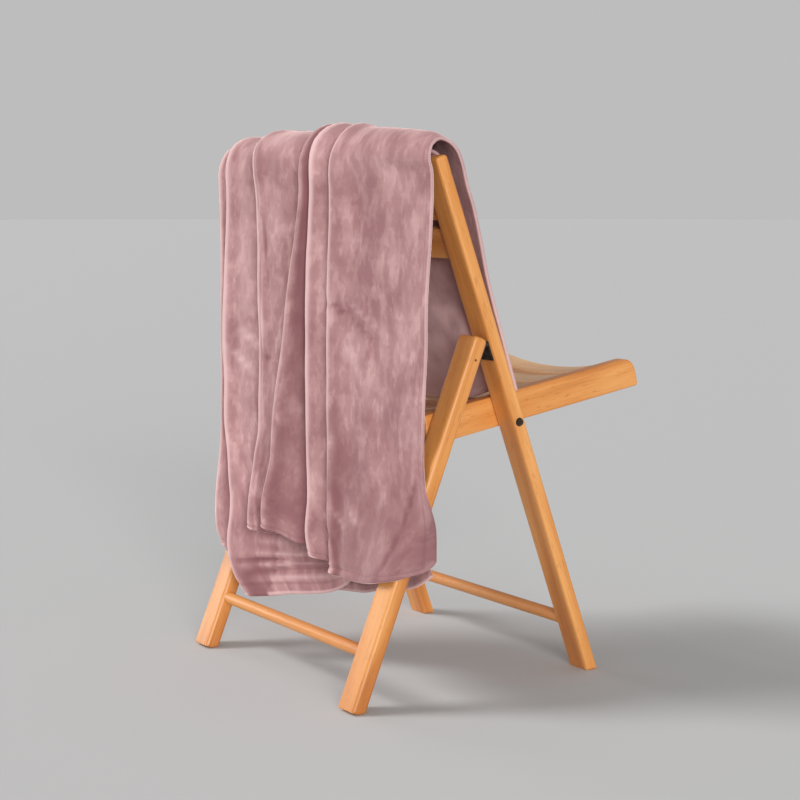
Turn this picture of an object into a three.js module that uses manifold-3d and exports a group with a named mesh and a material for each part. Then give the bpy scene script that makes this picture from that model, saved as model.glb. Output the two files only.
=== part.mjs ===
// A throw blanket hung over the back of a wooden folding chair.
// Millimetres, +Z up, +Y towards the front of the chair, +X its right-hand side.
import * as THREE from "three";
import { mergeVertices } from "three/addons/utils/BufferGeometryUtils.js";
import Module from "manifold-3d";

const wasm = await Module();
wasm.setup();

// Chair, outline and timber
const chairWidth = 477;
const gap = 0.3;
const edgeRadius = 4;

// Post: one board from the front foot to the top of the back
const post = { width: 43, thickness: 20, footY: 202.4, topY: -80.6, topZ: 768, topRadius: 6 };

// Rear leg: a shorter board from the rear foot to the hinge behind the post
const leg = { width: 41, thickness: 23, footY: -221.5, topY: -10.7, topZ: 521, topRadius: 7, heelZ: 4.5 };

// Seat: two side rails with dished slats between them
const rail = { thickness: 20, height: 46, tilt: 9.4, backY: -62, baseY: -40.7, baseZ: 363, length: 402 };
const railNose = { top: 24, bottom: 6, back: 4 };
const slat = { width: 40, pitch: 62, count: 6, first: 20, thickness: 12, dish: 25, inset: 3, radius: 3 };

// Back: two straight slats between the posts, measured down from the top of the post
const backSlats = [
  { name: "back_slat_upper", from: 14, to: 94, thickness: 12 },
  { name: "back_slat_lower", from: 107, to: 152, thickness: 12 },
];
const backSlatInset = 5;

// Stretchers, pivots and hinges
const stretcher = { radius: 9.5, height: 78 };
const pivot = { y: 68, z: 391, shank: 4, head: 6.5, headDepth: 3 };
const rearPin = { y: -50, z: 384, shank: 4, head: 6.5, headDepth: 3, bite: 24 };
const hinge = { width: 33, thickness: 2, reach: 30 };

// Throw: thickness of the cloth and spacing of its folded layers
const cloth = { thickness: 3, turn: 3.5 };

// The cloth's first layer follows a line that climbs the back, bends over its top and hangs down behind
const frontHemZ = 435;
const seatGap = 6;
const drape = { centreY: -68.7, centreZ: 755, radius: 16 };

// Levels of the cloth from the front hem to the rear one: height on a flap, or angle on the bend over the top
const levels = [
  { name: "front hem", place: "front", at: 430 },
  { name: "front low", place: "front", at: 560 },
  { name: "front high", place: "front", at: 700 },
  { name: "front top", place: "bend", at: 20.2 },
  { name: "crest", place: "bend", at: 90 },
  { name: "shoulder", place: "bend", at: 140 },
  { name: "rear top", place: "rear", at: 730 },
  { name: "rear middle", place: "rear", at: 540 },
  { name: "rear low", place: "rear", at: 345 },
  { name: "leg edge", place: "rear", at: 316 },
  { name: "on the legs", place: "rear", at: 255 },
  { name: "above the hems", place: "rear", at: 215 },
  { name: "main hem", place: "rear", at: 185 },
  { name: "left hem", place: "rear", at: 155 },
  { name: "under the hems", place: "rear", at: 125 },
  { name: "long hem", place: "rear", at: 95 },
];

// Sideways place of each fold, a row for each level
const foldColumns = ["edge", "band", "corner", "cover", "middle", "f5", "f4", "f3", "f2", "f1", "end"];
const foldX = [
  [222, 212, 196, 160, 90, 20, -35, -85, -150, -225, -262],
  [227, 217, 200, 162, 92, 18, -38, -84, -160, -240, -272],
  [229, 219, 202, 164, 94, 16, -40, -82, -175, -250, -280],
  [231, 221, 204, 165, 96, 15, -40, -80, -195, -258, -284],
  [232, 222, 206, 166, 98, 15, -40, -80, -210, -262, -286],
  [238, 228, 210, 168, 98, 22, -34, -70, -202, -264, -291],
  [240, 229, 212, 168, 100, 22, -26, -62, -180, -262, -295],
  [231, 220, 206, 166, 98, 15, -42, -103, -171, -270, -293],
  [226, 216, 201, 165, 98, 15, -46, -130, -172, -265, -292],
  [244, 235, 218, 174, 100, 16, -44, -130, -177, -255, -289],
  [262, 260, 245, 196, 108, 19, -35, -121, -166, -224, -279],
  [266, 264, 247, 199, 112, 21, -29, -105, -141, -197, -260],
  [266, 264, 246, 200, 116, 26, -17, -92, -124, -187, -240],
  [266, 264, 246, 200, 118, 34, -5, -88, -120, -182, -209],
  [266, 264, 246, 200, 118, 34, -5, -88, -120, -160, -200],
  [266, 264, 246, 200, 118, 34, -5, -88, -120, -132, -180],
];

// Distance of each fold's outer face from the first layer's line, a row for each level
const foldRise = [
  [8, 9, 11, 13, 22, 30, 37, 38, 40, 30, 20],
  [9, 10, 11, 13, 22, 30, 37, 38, 40, 32, 22],
  [25, 25, 26, 27, 31, 36, 40, 42, 44, 35, 24],
  [22, 23, 26, 30, 36, 41, 43, 44, 45, 37, 26],
  [24, 28, 33, 37, 42, 46, 43, 45, 43, 33, 24],
  [12, 16, 21, 28, 37, 42, 42, 47, 50, 47, 40],
  [3, 4.5, 7, 13, 26, 34, 39, 45, 51, 49, 45],
  [3, 4.5, 7, 13, 26, 34, 39, 45, 51, 49, 45],
  [5, 6, 9, 15, 27, 34, 39, 46, 52, 50, 46],
  [17, 18, 19, 23, 30, 35, 40, 49, 55, 54, 50],
  [11, 27, 39, 41, 40, 38, 45, 62, 72, 68, 63],
  [12, 31, 56, 58, 46, 40, 49, 76, 86, 84, 78],
  [12, 33, 67, 70, 52, 42, 53, 88, 95, 90, 86],
  [12, 34, 76, 80, 58, 45, 56, 92, 99, 93, 91],
  [12, 34, 76, 80, 58, 45, 56, 92, 99, 93, 93],
  [12, 34, 76, 80, 58, 45, 56, 92, 99, 93, 93],
];

// How far each fold is tucked back under its panel, the hem's height at its face and at its turn, and how
// much its panel bulges; a long tuck ends beside another fold
const folds = [
  { name: "f5", tuck: 36, hem: 156, turnHem: 160, bulge: 0 },
  { name: "f4", tuck: 32, hem: 175, turnHem: 178, bulge: 2 },
  { name: "f3", tuck: 38, hem: 196, turnHem: 196, bulge: 2 },
  { name: "f2", tuck: 30, beside: "f5", hem: 200, turnHem: 166, bulge: 6, long: true },
  { name: "f1", tuck: 28, hem: 94, turnHem: 106, bulge: 0 },
];
const leftEnd = { name: "end", hem: 158, bulge: 2 };
const mainHem = { edge: 203, band: 197, corner: 187, cover: 176, middle: 160, f5: 156 };
const longHem = [[0, 166], [0.12, 146], [0.26, 122], [0.45, 110], [0.77, 102], [1, 94]];

// First layer: its right edge, and its distance from the line at the right and at the left, by level
const firstColumns = ["right", "riseRight", "riseLeft"];
const firstLayer = [
  [212, 1.5, 5],
  [215, 1.5, 5],
  [214, 3, 6],
  [210, 7, 8],
  [205, 9, 9],
  [190, 3, 8],
  [188, 0.5, 8],
  [188, 0.5, 8],
  [188, 0.5, 12],
  [189, 0.5, 20],
  [193, -1, 43],
  [210, -3, 58],
  [228, -5, 70],
  [240, -5, 82],
  [240, -5, 82],
  [240, -5, 82],
];
const firstHem = [
  [0, 158], [0.05, 150], [0.12, 112], [0.29, 114], [0.47, 118], [0.62, 126], [0.72, 140], [0.86, 151], [1, 179],
];

// Places of the columns of the grid along each run of cloth, from 0 to 1; a column lies on both sides
// of each turn hidden under a panel
const steps = {
  main: [0, 0.1, 0.2, 0.3, 0.4, 0.5, 0.6, 0.7, 0.8],
  shortTuck: [0, 0.5, 1],
  longTuck: [0, 0.15, 0.35, 0.6, 0.8, 1],
  shortPanel: [0, 0.5, 1],
  longPanel: [0, 0.12, 0.25, 0.4, 0.6, 0.8, 1],
  wholePanel: [0, 0.25, 0.5, 0.75, 1],
  first: [0, 0.04, 0.1, 0.18, 0.3, 0.44, 0.58, 0.72, 0.84, 0.925, 1],
  besideTurn: 6,
};

// Rows of the grid between one level and the next, above the hems, and those down to each hem
const rowSteps = [0, 0, 3, 2, 4, 2, 3, 3, 3, 1, 2];
const hemRows = { front: [1, 0.65, 0.3], frontFrom: 560, rear: [0.25, 0.5, 0.75, 1], rearFrom: 255 };

const wood = new THREE.MeshStandardMaterial({ color: 0xd9914f, roughness: 0.42, metalness: 0 });
const slatWood = new THREE.MeshStandardMaterial({ color: 0xd0a078, roughness: 0.5, metalness: 0 });
const steel = new THREE.MeshStandardMaterial({ color: 0x3a3a3c, roughness: 0.45, metalness: 0.8 });
const plush = new THREE.MeshStandardMaterial({ color: 0xb58b8b, roughness: 0.9, metalness: 0 });

const object = new THREE.Group();
const outer = chairWidth / 2;
const postSlope = (post.footY - post.topY) / post.topZ;
const legSlope = (leg.topY - leg.footY) / leg.topZ;
const postDepth = post.thickness * Math.hypot(1, postSlope);
const legDepth = leg.thickness * Math.hypot(1, legSlope);
const postInner = outer - post.width;
const legInner = outer - leg.width;
const railOuter = postInner - gap;
const railInner = railOuter - rail.thickness;
const tilt = THREE.MathUtils.degToRad(rail.tilt);

function postBackY(z) {
  return post.footY - z * postSlope;
}

function legBackY(z) {
  return leg.footY + z * legSlope;
}

function railTopZ(y) {
  return rail.baseZ + (y - rail.baseY) * Math.tan(tilt) + rail.height / Math.cos(tilt);
}

function addPiece(name, geometry, material) {
  const mesh = new THREE.Mesh(geometry, material);
  mesh.name = name;
  object.add(mesh);
  return mesh;
}

// Joined vertices, with the empty triangles at the poles of a turned piece left out
function plainGeometry(geometry) {
  geometry.deleteAttribute("normal");
  geometry.deleteAttribute("uv");
  const joined = mergeVertices(geometry, 1e-3);
  const kept = [];
  const { array } = joined.index;
  for (let i = 0; i < array.length; i += 3) {
    const [a, b, c] = [array[i], array[i + 1], array[i + 2]];
    if (a !== b && b !== c && c !== a) {
      kept.push(a, b, c);
    }
  }
  joined.setIndex(kept);
  return joined;
}

// Outline through corners [u, v, radius], moved inwards by the inset and rounded at each corner
function insetOutline(corners, inset, segments) {
  const count = corners.length;
  const points = corners.map(([u, v]) => new THREE.Vector2(u, v));
  const moved = points.map((point, i) => {
    const before = point.clone().sub(points[(i + count - 1) % count]).normalize();
    const after = points[(i + 1) % count].clone().sub(point).normalize();
    const bisector = new THREE.Vector2(-before.y - after.y, before.x + after.x);
    return point.clone().addScaledVector(bisector, inset / (1 + before.dot(after)));
  });
  return moved.flatMap((corner, i) => {
    const radius = corners[i][2];
    if (radius === 0) {
      return [corner];
    }
    const reach = Math.max(radius - inset, 0.4);
    const towards = (other) => corner.clone().add(other.clone().sub(corner).setLength(reach));
    const start = towards(moved[(i + count - 1) % count]);
    const finish = towards(moved[(i + 1) % count]);
    return new THREE.QuadraticBezierCurve(start, corner, finish).getPoints(segments);
  });
}

// Solid between two flat ends, with its long edges rounded; u, v and depth follow the given axes
function lofted(corners, from, to, radius, axes, segments = 3) {
  const outline = corners.map(([u, v]) => new THREE.Vector2(u, v));
  const ordered = THREE.ShapeUtils.area(outline) < 0 ? [...corners].reverse() : corners;
  const steps = radius > 0 ? [0, 45, 90] : [90];
  const ends = steps.map((degrees) => {
    const angle = THREE.MathUtils.degToRad(degrees);
    return [radius * (1 - Math.sin(angle)), radius * (1 - Math.cos(angle))];
  });
  const rings = [
    ...ends.map(([inset, back]) => [insetOutline(ordered, inset, segments), from + (radius > 0 ? back : 0)]),
    ...[...ends].reverse().map(([inset, back]) => [
      insetOutline(ordered, inset, segments),
      to - (radius > 0 ? back : 0),
    ]),
  ];
  const size = rings[0][0].length;
  const positions = rings.flatMap(([ring, depth]) => ring.flatMap((point) => [point.x, point.y, depth]));
  const cap = THREE.ShapeUtils.triangulateShape(rings[0][0], []);
  const last = (rings.length - 1) * size;
  const index = cap.flatMap(([i, j, k]) => [i, k, j, last + i, last + j, last + k]);
  for (let r = 0; r < rings.length - 1; r += 1) {
    for (let i = 0; i < size; i += 1) {
      const j = (i + 1) % size;
      const [low, high] = [r * size, (r + 1) * size];
      index.push(low + i, low + j, high + j, low + i, high + j, high + i);
    }
  }
  const geometry = new THREE.BufferGeometry();
  geometry.setAttribute("position", new THREE.Float32BufferAttribute(positions, 3));
  geometry.setIndex(index);
  geometry.applyMatrix4(new THREE.Matrix4().makeBasis(...axes));
  return geometry;
}

// Board with its outline in the YZ plane and its width along X
function board(corners, xFrom, xTo, radius, segments = 3) {
  const axes = [new THREE.Vector3(0, 1, 0), new THREE.Vector3(0, 0, 1), new THREE.Vector3(1, 0, 0)];
  return lofted(corners, xFrom, xTo, radius, axes, segments);
}

// Closed surface of revolution about the X axis through (y, z), profile rows are [radius, x]
function turned(profile, y, z, segments = 16) {
  const points = profile.map(([radius, x]) => new THREE.Vector2(radius, x));
  const geometry = new THREE.LatheGeometry(points, segments);
  geometry.rotateZ(-Math.PI / 2);
  geometry.translate(0, y, z);
  return plainGeometry(geometry);
}

function toSolid(geometry) {
  return new wasm.Manifold(new wasm.Mesh({
    numProp: 3,
    vertProperties: new Float32Array(geometry.attributes.position.array),
    triVerts: new Uint32Array(geometry.index.array),
  }));
}

function toGeometry(solid) {
  const mesh = solid.getMesh();
  const geometry = new THREE.BufferGeometry();
  geometry.setAttribute("position", new THREE.BufferAttribute(new Float32Array(mesh.vertProperties), 3));
  geometry.setIndex(new THREE.BufferAttribute(new Uint32Array(mesh.triVerts), 1));
  return geometry;
}

function drilled(geometry, y, z, radius, xFrom, xTo) {
  const drill = turned([[0, xFrom], [radius, xFrom], [radius, xTo], [0, xTo]], y, z);
  return toGeometry(toSolid(geometry).subtract(toSolid(drill)));
}

// Mirror of a piece on the other side of the chair
function mirrored(geometry) {
  const copy = geometry.clone();
  copy.scale(-1, 1, 1);
  const index = copy.index.array;
  for (let i = 0; i < index.length; i += 3) {
    [index[i], index[i + 1]] = [index[i + 1], index[i]];
  }
  return copy;
}

function addPair(name, geometry, material) {
  addPiece(`${name}_right`, geometry, material);
  addPiece(`${name}_left`, mirrored(geometry), material);
}

function addPosts() {
  const length = Math.hypot(1, postSlope);
  const across = [1 / length, postSlope / length];
  const corners = [
    [post.footY, 0, 2],
    [post.footY + postDepth, 0, 2],
    [post.topY + post.thickness * across[0], post.topZ + post.thickness * across[1], post.topRadius],
    [post.topY, post.topZ, post.topRadius],
  ];
  const solid = board(corners, postInner, outer, edgeRadius);
  addPair("post", drilled(solid, pivot.y, pivot.z, pivot.shank + gap, postInner - 5, outer + 5), wood);
}

// The foot is cut square to the leg, with its tip trimmed level
function addRearLegs() {
  const length = Math.hypot(1, legSlope);
  const across = [1 / length, -legSlope / length];
  const heelY = legBackY(leg.heelZ);
  const soleY = heelY + leg.heelZ * across[0] / -across[1];
  const corners = [
    [heelY, leg.heelZ, 1.5],
    [soleY, 0, 1],
    [leg.footY + legDepth, 0, 1.5],
    [leg.topY + leg.thickness * across[0], leg.topZ + leg.thickness * across[1], leg.topRadius],
    [leg.topY, leg.topZ, leg.topRadius],
  ];
  const solid = board(corners, legInner, outer, edgeRadius);
  const hole = drilled(solid, rearPin.y, rearPin.z, rearPin.shank + gap, legInner - 5, legInner + rearPin.bite + gap);
  addPair("rear_leg", hole, wood);
}

// Point on the seat: distance along the rail from its base and height above its lower edge
function seatPoint(along, height) {
  return [
    rail.baseY + along * Math.cos(tilt) - height * Math.sin(tilt),
    rail.baseZ + along * Math.sin(tilt) + height * Math.cos(tilt),
  ];
}

function addRails() {
  const back = (rail.backY - rail.baseY) / Math.cos(tilt);
  const front = back + rail.length;
  const corners = [
    [...seatPoint(back, 0), railNose.back],
    [...seatPoint(front, 0), railNose.bottom],
    [...seatPoint(front - 4, rail.height), railNose.top],
    [...seatPoint(back, rail.height), railNose.back],
  ];
  let solid = board(corners, railInner, railOuter, 2.5, 6);
  solid = drilled(solid, pivot.y, pivot.z, pivot.shank + gap, railInner - 5, railOuter + 5);
  solid = drilled(solid, rearPin.y, rearPin.z, rearPin.shank + gap, railInner - 5, railOuter + 5);
  addPair("seat_rail", solid, wood);
}

// Slats bowed downwards between the rails, each with its outline in the plane across the chair
function addSeatSlats() {
  const half = railInner - gap;
  const steps = 12;
  const bow = (x) => -slat.dish * (1 - (x / half) ** 2);
  const across = Array.from({ length: steps + 1 }, (_, k) => half * (2 * k / steps - 1));
  const corners = [
    ...across.map((x) => [x, bow(x) - slat.thickness, 0]),
    ...[...across].reverse().map((x) => [x, bow(x), 0]),
  ];
  const axes = [
    new THREE.Vector3(1, 0, 0),
    new THREE.Vector3(0, -Math.sin(tilt), Math.cos(tilt)),
    new THREE.Vector3(0, -Math.cos(tilt), -Math.sin(tilt)),
  ];
  for (let i = 0; i < slat.count; i += 1) {
    const geometry = lofted(corners, -slat.width / 2, slat.width / 2, slat.radius, axes);
    const [y, z] = seatPoint(slat.first + i * slat.pitch + slat.width / 2, rail.height - slat.inset);
    geometry.translate(0, y, z);
    addPiece(`seat_slat_${i + 1}`, geometry, slatWood);
  }
}

function addBackSlats() {
  const length = Math.hypot(1, postSlope);
  const down = [postSlope / length, -1 / length];
  const forward = [1 / length, postSlope / length];
  const half = postInner - gap;
  for (const piece of backSlats) {
    const corner = (along, deep) => [
      post.topY + along * down[0] + deep * forward[0],
      post.topZ + along * down[1] + deep * forward[1],
      2,
    ];
    const back = backSlatInset;
    const front = backSlatInset + piece.thickness;
    const corners = [
      corner(piece.to, back),
      corner(piece.to, front),
      corner(piece.from, front),
      corner(piece.from, back),
    ];
    addPiece(piece.name, board(corners, -half, half, 0, 2), wood);
  }
}

function addStretchers() {
  const front = postInner - gap;
  const rear = legInner - gap;
  const { radius, height } = stretcher;
  const frontY = postBackY(height) + postDepth / 2;
  const rearY = legBackY(height) + legDepth / 2;
  const rod = (half) => [[0, -half], [radius, -half], [radius, half], [0, half]];
  addPiece("front_stretcher", turned(rod(front), frontY, height, 20), wood);
  addPiece("rear_stretcher", turned(rod(rear), rearY, height, 20), wood);
}

function addPivots() {
  const { shank, head, headDepth } = pivot;
  const bolt = [
    [0, railInner - gap - headDepth],
    [head, railInner - gap - headDepth],
    [head, railInner - gap],
    [shank, railInner - gap],
    [shank, outer + gap],
    [head, outer + gap],
    [head - 1.5, outer + gap + headDepth],
    [0, outer + gap + headDepth],
  ];
  addPair("pivot_bolt", turned(bolt, pivot.y, pivot.z), steel);
  const pin = [
    [0, railInner - gap - rearPin.headDepth],
    [rearPin.head, railInner - gap - rearPin.headDepth],
    [rearPin.head, railInner - gap],
    [rearPin.shank, railInner - gap],
    [rearPin.shank, legInner + rearPin.bite],
    [0, legInner + rearPin.bite],
  ];
  addPair("rear_pin", turned(pin, rearPin.y, rearPin.z), steel);
}

// Bent steel plate in the notch between the leg's front face and the post's rear face
function addHinges() {
  const away = gap + 0.05;
  const postUnit = [postSlope / Math.hypot(1, postSlope), -1 / Math.hypot(1, postSlope)];
  const legUnit = [-legSlope / Math.hypot(1, legSlope), -1 / Math.hypot(1, legSlope)];
  const topZ = leg.topZ - leg.thickness * legSlope / Math.hypot(1, legSlope) - 2;
  const legFaceY = legBackY(topZ) + legDepth;
  const apexZ = topZ;
  const postSide = [postBackY(apexZ) - away, apexZ];
  const legSide = [legFaceY + away, apexZ];
  const along = (start, unit, far, side) => [start[0] + unit[0] * far + side[0], start[1] + unit[1] * far + side[1], 0];
  const postIn = [-hinge.thickness * Math.hypot(1, postSlope), 0];
  const legIn = [hinge.thickness * Math.hypot(1, legSlope), 0];
  const crotchZ = 7;
  const corners = [
    along(legSide, legUnit, 0, [0, 0]),
    along(legSide, legUnit, hinge.reach, [0, 0]),
    along(legSide, legUnit, hinge.reach, legIn),
    along(legSide, legUnit, crotchZ, legIn),
    along(postSide, postUnit, crotchZ, postIn),
    along(postSide, postUnit, hinge.reach, postIn),
    along(postSide, postUnit, hinge.reach, [0, 0]),
    along(postSide, postUnit, 0, [0, 0]),
  ];
  const centre = (legInner + outer) / 2;
  const solid = board(corners, centre - hinge.width / 2, centre + hinge.width / 2, 0);
  addPair("hinge_plate", solid, steel);
}

// Smooth curve through a column of a table that never overshoots its rows
function alongColumn(places, values, t) {
  let i = 0;
  while (i < places.length - 2 && t > places[i + 1]) {
    i += 1;
  }
  const slope = (k) => (values[k + 1] - values[k]) / (places[k + 1] - places[k]);
  const tangent = (k) => {
    if (k === 0) {
      return slope(0);
    }
    if (k === values.length - 1) {
      return slope(k - 1);
    }
    const [a, b] = [slope(k - 1), slope(k)];
    return a * b <= 0 ? 0 : 2 * a * b / (a + b);
  };
  const width = places[i + 1] - places[i];
  const s = (t - places[i]) / width;
  const [s2, s3] = [s * s, s * s * s];
  return (2 * s3 - 3 * s2 + 1) * values[i] + (s3 - 2 * s2 + s) * width * tangent(i)
    + (3 * s2 - 2 * s3) * values[i + 1] + (s3 - s2) * width * tangent(i + 1);
}

// A row of the cloth: its place on the drape line and the direction away from the chair
function drapePoint(place, at) {
  const lean = Math.atan(postSlope);
  const { centreY, centreZ, radius } = drape;
  if (place === "bend") {
    const angle = THREE.MathUtils.degToRad(at);
    const away = [Math.cos(angle), Math.sin(angle)];
    return { y: centreY + radius * away[0], z: centreZ + radius * away[1], away };
  }
  if (place === "rear") {
    return { y: centreY - radius, z: at, away: [-1, 0] };
  }
  const away = [Math.cos(lean), Math.sin(lean)];
  const startZ = centreZ + radius * away[1];
  return { y: centreY + radius * away[0] + (startZ - at) * postSlope, z: at, away };
}

// Place of a row between two levels, where the cloth passes from a flap to the bend or back
function between(from, to, t) {
  if (from.place === to.place) {
    return { place: to.place, at: THREE.MathUtils.lerp(from.at, to.at, t) };
  }
  if (to.place === "bend") {
    const top = drapePoint("bend", to.at).z;
    return t < 1 ? { place: "front", at: THREE.MathUtils.lerp(from.at, top, t) } : { place: "bend", at: to.at };
  }
  const finish = 180;
  const bendShare = 0.7;
  if (t < bendShare) {
    return { place: "bend", at: THREE.MathUtils.lerp(from.at, finish, t / bendShare) };
  }
  const fall = (t - bendShare) / (1 - bendShare);
  return { place: "rear", at: THREE.MathUtils.lerp(drape.centreZ, to.at, fall) };
}

// Height of the hem just above the seat, lower over the dished slats than over the rails
function seatHem(x, y) {
  const half = railInner - gap;
  const share = Math.min(1, Math.abs(x) / half);
  const dip = slat.inset + slat.dish * (1 - share ** 2);
  const lift = THREE.MathUtils.smoothstep(Math.abs(x), half - 25, half - 3);
  return railTopZ(y) + seatGap - THREE.MathUtils.lerp(dip, 0, lift);
}

// Value at a place in a short list of [place, value] pairs
function readPairs(pairs, t) {
  return alongColumn(pairs.map(([place]) => place), pairs.map(([, value]) => value), t);
}

// Height of the layers already laid at x, including the turns just beyond their ends
function heapAt(heap, x) {
  const reach = 2 * cloth.turn;
  let height = -Infinity;
  for (const run of heap) {
    for (let i = 0; i < run.length - 1; i += 1) {
      const [a, b] = run[i].x < run[i + 1].x ? [run[i], run[i + 1]] : [run[i + 1], run[i]];
      if (x >= a.x - reach && x <= b.x + reach) {
        const t = THREE.MathUtils.clamp((x - a.x) / (b.x - a.x), 0, 1);
        height = Math.max(height, THREE.MathUtils.lerp(a.rise, b.rise, t));
      }
    }
  }
  return height;
}

// One level's section, laid from the first layer upwards and returned in the order of the cloth:
// the main panel from its right edge, each fold with its tuck and next panel, and last the first layer
function layLevel(level) {
  const fold = Object.fromEntries(foldColumns.map((name, c) => [name, foldX[level][c]]));
  const rise = Object.fromEntries(foldColumns.map((name, c) => [name, foldRise[level][c]]));
  const first = Object.fromEntries(firstColumns.map((name, c) => [name, firstLayer[level][c]]));
  const { lerp, clamp, smoothstep } = THREE.MathUtils;
  const { turn } = cloth;
  const heap = [];
  const turnOf = (pleat) => fold[pleat.beside ?? pleat.name] + pleat.tuck;
  const lay = (places, wanted, hem) => {
    const run = places.map((x) => {
      const t = (x - places[0]) / (places.at(-1) - places[0]);
      const lowest = heap.length > 0 ? heapAt(heap, x) + 2 * turn : -Infinity;
      return { x, rise: Math.max(wanted(x, t), lowest), hem: hem(t) };
    });
    heap.push(run);
    return run;
  };
  const spread = (list, from, to) => list.map((t) => lerp(from, to, t));
  const overTurn = (pleat) => {
    const beside = steps.besideTurn;
    const turnX = turnOf(pleat);
    const face = fold[pleat.name];
    return [turnX - beside, (turnX + face) / 2, face + turn];
  };
  const bend = (x, upper, lower, hem) => [{ x, rise: (upper.rise + lower.rise) / 2, hem }];

  // First layer, its left end lifted to the end fold
  const leftX = fold.end + turn;
  const firstRun = lay(spread(steps.first, leftX, first.right), (x) => {
    const along = clamp((x + 195) / 215, 0, 1);
    const flat = lerp(first.riseLeft, first.riseRight, along);
    const settle = Math.exp(-(((x - leftX) / 45) ** 2));
    return lerp(flat, Math.max(flat, rise.end - 2 * turn), settle);
  }, (t) => readPairs(firstHem, t));
  let runs = [firstRun];

  // Pleats, from the left: a panel up to its fold at the left, and the tuck on top of it
  for (let k = folds.length - 1; k >= 0; k -= 1) {
    const pleat = folds[k];
    const left = folds[k + 1] ?? leftEnd;
    const startX = turnOf(pleat) - turn;
    const base = heapAt(heap, startX) + 2 * turn;
    const [panelSteps, tuckSteps] = pleat.long ? [steps.longPanel, steps.longTuck] : [steps.shortPanel, steps.shortTuck];
    const places = left.tuck && !left.long
      ? [...spread(panelSteps, startX, turnOf(left) + steps.besideTurn), ...overTurn(left)]
      : spread(steps.wholePanel, startX, fold[left.name] + turn);
    const panel = lay(places, (x, t) => (
      lerp(base, rise[left.name], t ** (pleat.long ? 1.6 : 1)) + left.bulge * Math.sin(Math.PI * t)
    ), (t) => (
      pleat.long ? readPairs(longHem, t) : lerp(pleat.turnHem, left.hem, smoothstep(t, 0.4, 1))
    ));
    const tuckBase = heapAt(heap, startX) + 2 * turn;
    const tuck = lay(spread(tuckSteps, fold[pleat.name] + turn, startX), (x, t) => (
      lerp(rise[pleat.name] - 2 * turn, tuckBase, pleat.long ? 1 - (1 - t) ** 2 : t)
    ), (t) => (
      lerp(pleat.hem, pleat.turnHem, pleat.long ? smoothstep(t, 0.6, 1) : t)
    ));
    runs = [
      tuck,
      bend(turnOf(pleat), tuck.at(-1), panel[0], pleat.turnHem),
      panel,
      bend(fold[left.name], panel.at(-1), runs[0][0], left.hem),
      ...runs,
    ];
  }

  // Main panel, through its named columns
  const names = ["edge", "band", "corner", "cover", "middle", "f5"];
  const marks = names.map((_, i) => i / (names.length - 1));
  const along = (table, t) => alongColumn(marks, names.map((name) => table[name]), t);
  const mainPoint = (x, wanted, hem) => ({ x, rise: Math.max(wanted, heapAt(heap, x) + 2 * turn), hem });
  const main = steps.main.map((t) => mainPoint(along(fold, t), along(rise, t), along(mainHem, t)));
  const nearFold = [turnOf(folds[0]) + steps.besideTurn, ...overTurn(folds[0])];
  for (const x of nearFold) {
    const t = (fold.middle - x) / (fold.middle - fold.f5);
    main.push(mainPoint(x, lerp(rise.middle, rise.f5, t), lerp(mainHem.middle, mainHem.f5, t)));
  }
  return [main, bend(fold.f5, main.at(-1), runs[0][0], mainHem.f5), ...runs].flat();
}

// Middle surface of the cloth, a grid of rows along its length and columns across its folds
function clothGrid() {
  const laid = levels.map((_, i) => layLevel(i));
  const marks = levels.map((_, i) => i);
  const columns = laid[0].map((_, c) => ({
    x: laid.map((row) => row[c].x),
    rise: laid.map((row) => row[c].rise),
    hem: laid[0][c].hem,
  }));
  const read = (column, mark) => [alongColumn(marks, column.x, mark), alongColumn(marks, column.rise, mark)];
  const markAt = (place, height) => {
    const inPlace = marks.filter((i) => levels[i].place === place);
    const ordered = place === "rear" ? [...inPlace].reverse() : inPlace;
    const heights = ordered.map((i) => levels[i].at);
    const k = Math.min(heights.findLastIndex((at) => at <= height), heights.length - 2);
    const low = Math.max(k, 0);
    const t = THREE.MathUtils.clamp((height - heights[low]) / (heights[low + 1] - heights[low]), 0, 1);
    return THREE.MathUtils.lerp(ordered[low], ordered[low + 1], t);
  };
  const onFlap = (place, column, z) => {
    const line = drapePoint(place, z);
    const [x, rise] = read(column, markAt(place, z));
    return new THREE.Vector3(x, line.y + rise * line.away[0], z);
  };
  const grid = [];
  for (const share of hemRows.front) {
    grid.push(columns.map((column) => {
      const [x, rise] = read(column, 0);
      const line = drapePoint("front", frontHemZ);
      const hem = seatHem(x, line.y + rise * line.away[0]);
      return onFlap("front", column, THREE.MathUtils.lerp(hemRows.frontFrom, hem, share));
    }));
  }
  grid.push(columns.map((column) => onFlap("front", column, hemRows.frontFrom)));
  rowSteps.forEach((count, i) => {
    for (let k = 1; k <= count; k += 1) {
      const { place, at } = between(levels[i - 1], levels[i], k / count);
      const line = drapePoint(place, at);
      grid.push(columns.map((column) => {
        const [x, rise] = read(column, i - 1 + k / count);
        const lift = place === "bend" ? rise * line.away[1] : 0;
        return new THREE.Vector3(x, line.y + rise * line.away[0], line.z + lift);
      }));
    }
  });
  for (const share of hemRows.rear) {
    grid.push(columns.map((column) => (
      onFlap("rear", column, THREE.MathUtils.lerp(hemRows.rearFrom, column.hem, share))
    )));
  }
  return grid;
}

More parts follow.
